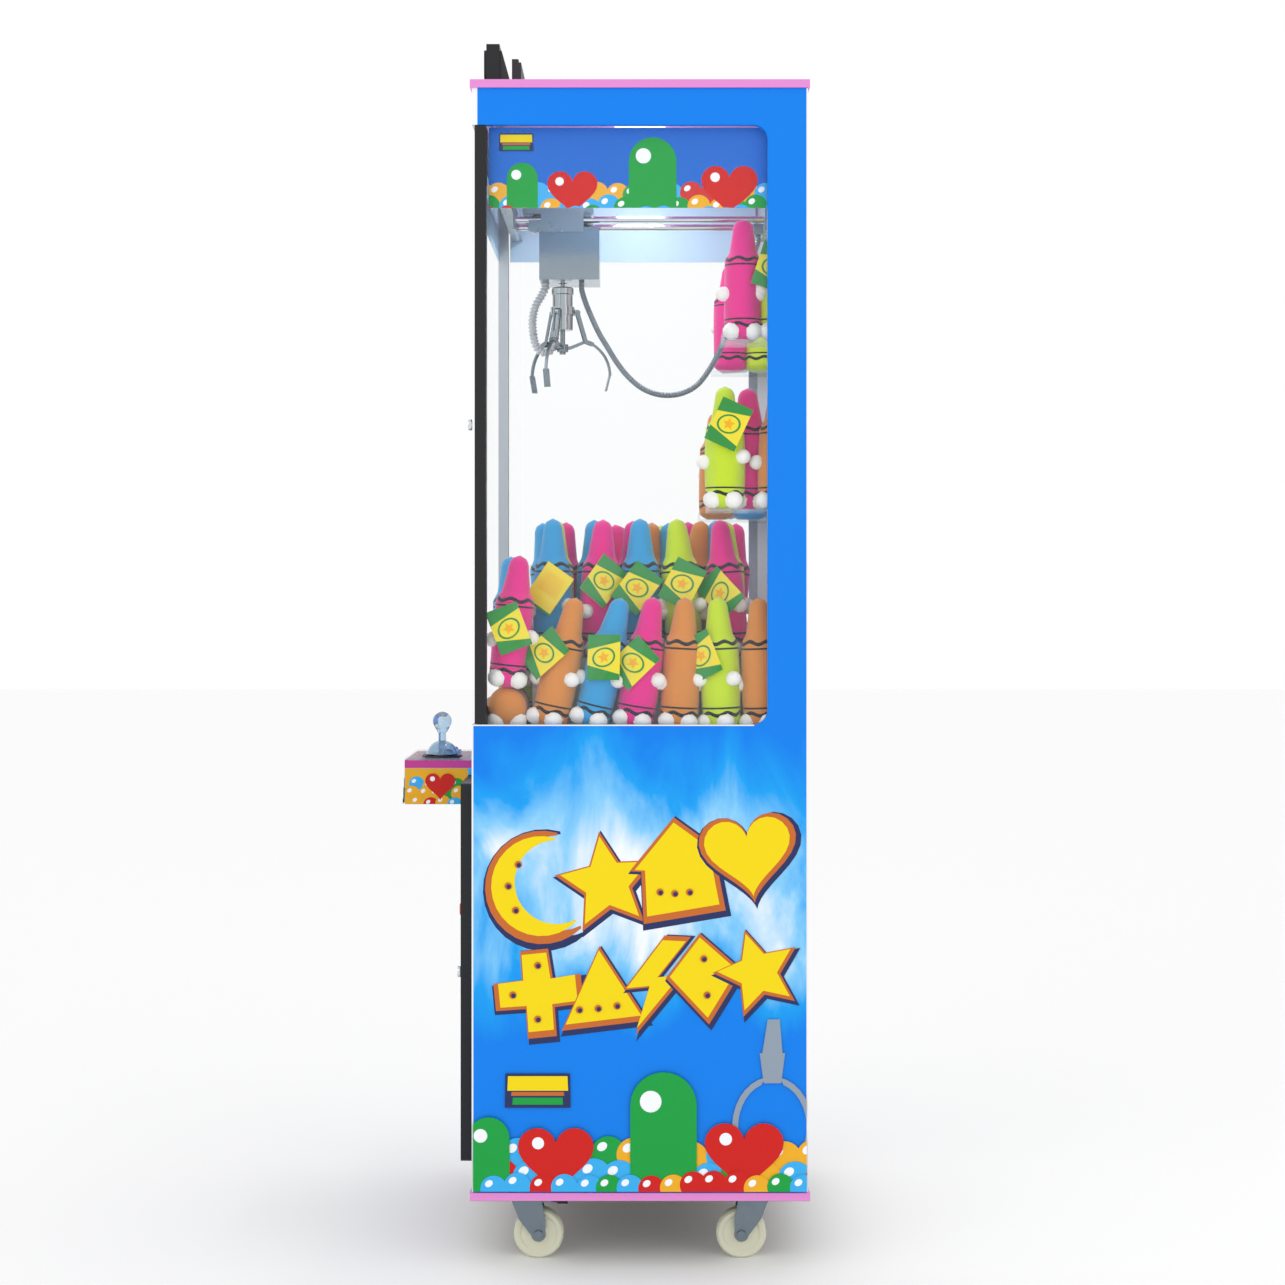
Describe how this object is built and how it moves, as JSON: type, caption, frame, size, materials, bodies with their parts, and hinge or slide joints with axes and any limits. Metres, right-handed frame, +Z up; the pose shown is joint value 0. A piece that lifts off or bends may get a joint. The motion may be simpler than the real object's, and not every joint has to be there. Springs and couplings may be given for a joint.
{
  "type": "claw crane machine",
  "caption": "Free-standing claw crane machine: a glazed prize cabin over a service cabinet on casters, with a joystick box and a sign on the roof.",
  "frame": {"origin": "on the floor, at the centre of the whole machine's outer box, casters and control box included", "axes": "+Z up; the front with its control box faces -Y; the machine's right side, seen from the front, is +X"},
  "size_m": [0.606, 0.623, 1.833],
  "materials": {
    "board_pink": "pink laminate over a board",
    "zinc_steel": "zinc plated pressed steel",
    "panel_blue": "board under a glossy printed film",
    "panel_white": "white laminated board",
    "window_glass": "clear tempered glass",
    "clear_acrylic": "clear acrylic sheet",
    "sheet_steel": "zinc plated sheet steel",
    "lamp_diffuser": "white diffuser",
    "black_metal": "satin black powder coat",
    "grey_plastic": "grey moulded plastic",
    "board_green": "circuit board",
    "plush": "short pile plush over soft stuffing",
    "control_blue": "printed film over a sheet box",
    "control_magenta": "magenta gloss plastic",
    "chrome": "polished plated steel",
    "button_red": "red push button",
    "dark_plastic": "dark moulded plastic",
    "clear_knob": "pale blue clear plastic",
    "white_plastic": "white moulded plastic",
    "mirror_steel": "polished stainless sheet",
    "spool_tan": "tan moulded plastic",
    "claw_steel": "nickel plated steel",
    "conduit_grey": "spiral wrapped cable trunk",
    "hose_grey": "coiled grey hose",
    "wheel_cream": "cream moulded tyre",
    "pedal_black": "black pedal"
  },
  "bodies": {
    "cabinet": {"base_board": "board_pink", "caster_plates": "zinc_steel", "side_panel_right": "panel_blue", "side_panel_left": "panel_blue", "rear_panel": "panel_white", "roof_cap": "board_pink", "front_top_rail": "panel_white", "front_lower_panel": "panel_blue", "side_windows": "window_glass", "prize_deck": "panel_white", "chute_guard": "clear_acrylic", "chute_duct": "sheet_steel", "prize_shelves": "clear_acrylic", "gantry_rails": "sheet_steel", "roof_lamp": "lamp_diffuser", "topper_board": "black_metal", "topper_brackets": "grey_plastic", "power_unit": "sheet_steel", "main_board": "board_green", "cash_box": "black_metal", "plush_prizes": "plush"},
    "front_door": {"front_door_frame": "black_metal", "front_door_glass": "window_glass"},
    "service_door": {"service_door": "black_metal", "control_box": "control_blue", "control_lid": "control_magenta", "control_plate": "clear_acrylic", "coin_plate": "chrome", "joystick_base": "dark_plastic", "button_bezel": "white_plastic"},
    "coin_button": {"coin_button": "button_red"},
    "prize_flap": {"prize_flap": "dark_plastic"},
    "joystick_gimbal": {"joystick_gimbal": "chrome"},
    "joystick_lever": {"joystick_lever": "clear_knob"},
    "drop_button": {"drop_button": "button_red"},
    "bridge": {"bridge_rods": "chrome", "bridge_carriages": "sheet_steel", "trunk_conduit": "conduit_grey"},
    "trolley": {"trolley_frame": "sheet_steel", "winch_box": "mirror_steel"},
    "winch_spool": {"winch_spool": "spool_tan"},
    "claw": {"claw_coil": "claw_steel", "claw_hose": "hose_grey"},
    "claw_hub": {"claw_hub": "claw_steel"},
    "finger_a": {"claw_finger_a": "claw_steel"},
    "link_a": {"claw_link_a": "claw_steel"},
    "finger_b": {"claw_finger_b": "claw_steel"},
    "link_b": {"claw_link_b": "claw_steel"},
    "finger_c": {"claw_finger_c": "claw_steel"},
    "link_c": {"claw_link_c": "claw_steel"},
    "fork_fr": {"caster_fork_fr": "zinc_steel"},
    "wheel_fr": {"caster_wheel_fr": "wheel_cream"},
    "fork_fl": {"caster_fork_fl": "zinc_steel"},
    "wheel_fl": {"caster_wheel_fl": "wheel_cream"},
    "fork_rr": {"caster_fork_rr": "zinc_steel"},
    "wheel_rr": {"caster_wheel_rr": "wheel_cream"},
    "fork_rl": {"caster_fork_rl": "zinc_steel"},
    "wheel_rl": {"caster_wheel_rl": "wheel_cream"},
    "pedal_right": {"brake_pedal_right": "pedal_black"},
    "pedal_left": {"brake_pedal_left": "pedal_black"}
  },
  "joints": [
    {"name": "front_door_hinge", "type": "hinge", "parent": "cabinet", "child": "front_door", "pos_m": [-0.294, -0.1865, 1.255], "axis": [0, 0, 1], "range_deg": [-110, 0]},
    {"name": "service_door_hinge", "type": "hinge", "parent": "cabinet", "child": "service_door", "pos_m": [-0.2646, -0.1965, 0.42], "axis": [0, 0, 1], "range_deg": [-110, 0]},
    {"name": "coin_button_push", "type": "slide", "parent": "service_door", "child": "coin_button", "axis": [0, 1, 0], "range_m": [0, 0.004], "stiffness_N_per_m": 250, "springref_m": -0.002},
    {"name": "prize_flap_hinge", "type": "hinge", "parent": "service_door", "child": "prize_flap", "pos_m": [-0.175, -0.1995, 0.384], "axis": [1, 0, 0], "range_deg": [0, 75]},
    {"name": "joystick_pitch", "type": "hinge", "parent": "service_door", "child": "joystick_gimbal", "pos_m": [0.058, -0.2565, 0.744], "axis": [1, 0, 0], "range_deg": [-12, 12], "stiffness_Nm_per_rad": 0.6},
    {"name": "joystick_roll", "type": "hinge", "parent": "joystick_gimbal", "child": "joystick_lever", "pos_m": [0.058, -0.2565, 0.744], "axis": [0, 1, 0], "range_deg": [-12, 12], "stiffness_Nm_per_rad": 0.6},
    {"name": "drop_button_push", "type": "slide", "parent": "service_door", "child": "drop_button", "axis": [0, 0, 1], "range_m": [-0.003, 0], "stiffness_N_per_m": 300, "springref_m": 0.002},
    {"name": "bridge_slide", "type": "slide", "parent": "cabinet", "child": "bridge", "axis": [1, 0, 0], "range_m": [-0.19, 0.19]},
    {"name": "trolley_slide", "type": "slide", "parent": "bridge", "child": "trolley", "axis": [0, 1, 0], "range_m": [-0.01, 0.125], "deforming": ["trunk_conduit"]},
    {"name": "claw_drop", "type": "slide", "parent": "trolley", "child": "claw", "axis": [0, 0, 1], "range_m": [-0.165, 0], "deforming": ["claw_hose"]},
    {"name": "winch_turn", "type": "hinge", "parent": "trolley", "child": "winch_spool", "pos_m": [0, -0.0525, 1.545], "axis": [1, 0, 0], "range_deg": [-530, 0]},
    {"name": "claw_grip", "type": "slide", "parent": "claw", "child": "claw_hub", "axis": [0, 0, 1], "range_m": [-0.01725, 0], "stiffness_N_per_m": 300, "springref_m": 0.01},
    {"name": "finger_a_pivot", "type": "hinge", "parent": "claw", "child": "finger_a", "pos_m": [0.02264, -0.07385, 1.458], "axis": [0.309, 0.9511, 0], "range_deg": [0, 24]},
    {"name": "link_a_pivot", "type": "hinge", "parent": "claw_hub", "child": "link_a", "pos_m": [0.01236, -0.07052, 1.401], "axis": [0.309, 0.9511, 0], "range_deg": [-57.3, 0]},
    {"name": "finger_b_pivot", "type": "hinge", "parent": "claw", "child": "finger_b", "pos_m": [-0.00495, -0.04322, 1.458], "axis": [-0.9781, -0.2079, 0], "range_deg": [0, 24]},
    {"name": "link_b_pivot", "type": "hinge", "parent": "claw_hub", "child": "link_b", "pos_m": [-0.0027, -0.05378, 1.401], "axis": [-0.9781, -0.2079, 0], "range_deg": [-57.3, 0]},
    {"name": "finger_c_pivot", "type": "hinge", "parent": "claw", "child": "finger_c", "pos_m": [-0.01769, -0.08243, 1.458], "axis": [0.6691, -0.7431, 0], "range_deg": [0, 24]},
    {"name": "link_c_pivot", "type": "hinge", "parent": "claw_hub", "child": "link_c", "pos_m": [-0.00966, -0.0752, 1.401], "axis": [0.6691, -0.7431, 0], "range_deg": [-57.3, 0]},
    {"name": "caster_fr_swivel", "type": "hinge", "parent": "cabinet", "child": "fork_fr", "pos_m": [0.24, -0.1165, 0.095], "axis": [0, 0, 1], "continuous": true},
    {"name": "caster_fr_roll", "type": "hinge", "parent": "fork_fr", "child": "wheel_fr", "pos_m": [0.24, -0.0945, 0.0375], "axis": [1, 0, 0], "continuous": true},
    {"name": "caster_fl_swivel", "type": "hinge", "parent": "cabinet", "child": "fork_fl", "pos_m": [-0.24, -0.1165, 0.095], "axis": [0, 0, 1], "continuous": true},
    {"name": "caster_fl_roll", "type": "hinge", "parent": "fork_fl", "child": "wheel_fl", "pos_m": [-0.24, -0.0945, 0.0375], "axis": [1, 0, 0], "continuous": true},
    {"name": "caster_rr_swivel", "type": "hinge", "parent": "cabinet", "child": "fork_rr", "pos_m": [0.24, 0.2335, 0.095], "axis": [0, 0, 1], "continuous": true},
    {"name": "caster_rr_roll", "type": "hinge", "parent": "fork_rr", "child": "wheel_rr", "pos_m": [0.24, 0.2115, 0.0375], "axis": [1, 0, 0], "continuous": true},
    {"name": "caster_rl_swivel", "type": "hinge", "parent": "cabinet", "child": "fork_rl", "pos_m": [-0.24, 0.2335, 0.095], "axis": [0, 0, 1], "continuous": true},
    {"name": "caster_rl_roll", "type": "hinge", "parent": "fork_rl", "child": "wheel_rl", "pos_m": [-0.24, 0.2115, 0.0375], "axis": [1, 0, 0], "continuous": true},
    {"name": "brake_right_pedal", "type": "hinge", "parent": "fork_fr", "child": "pedal_right", "pos_m": [0.24, -0.0785, 0.087], "axis": [1, 0, 0], "range_deg": [-12, 0]},
    {"name": "brake_left_pedal", "type": "hinge", "parent": "fork_fl", "child": "pedal_left", "pos_m": [-0.24, -0.0785, 0.087], "axis": [1, 0, 0], "range_deg": [-12, 0]}
  ],
  "couplings": [
    {"joint": "winch_turn", "follows": "claw_drop", "rad_per_m": 55.6},
    {"joint": "finger_a_pivot", "follows": "claw_grip", "rad_per_m": -24.28},
    {"joint": "link_a_pivot", "follows": "claw_grip", "rad_per_m": 57.92},
    {"joint": "finger_b_pivot", "follows": "claw_grip", "rad_per_m": -24.28},
    {"joint": "link_b_pivot", "follows": "claw_grip", "rad_per_m": 57.92},
    {"joint": "finger_c_pivot", "follows": "claw_grip", "rad_per_m": -24.28},
    {"joint": "link_c_pivot", "follows": "claw_grip", "rad_per_m": 57.92}
  ]
}
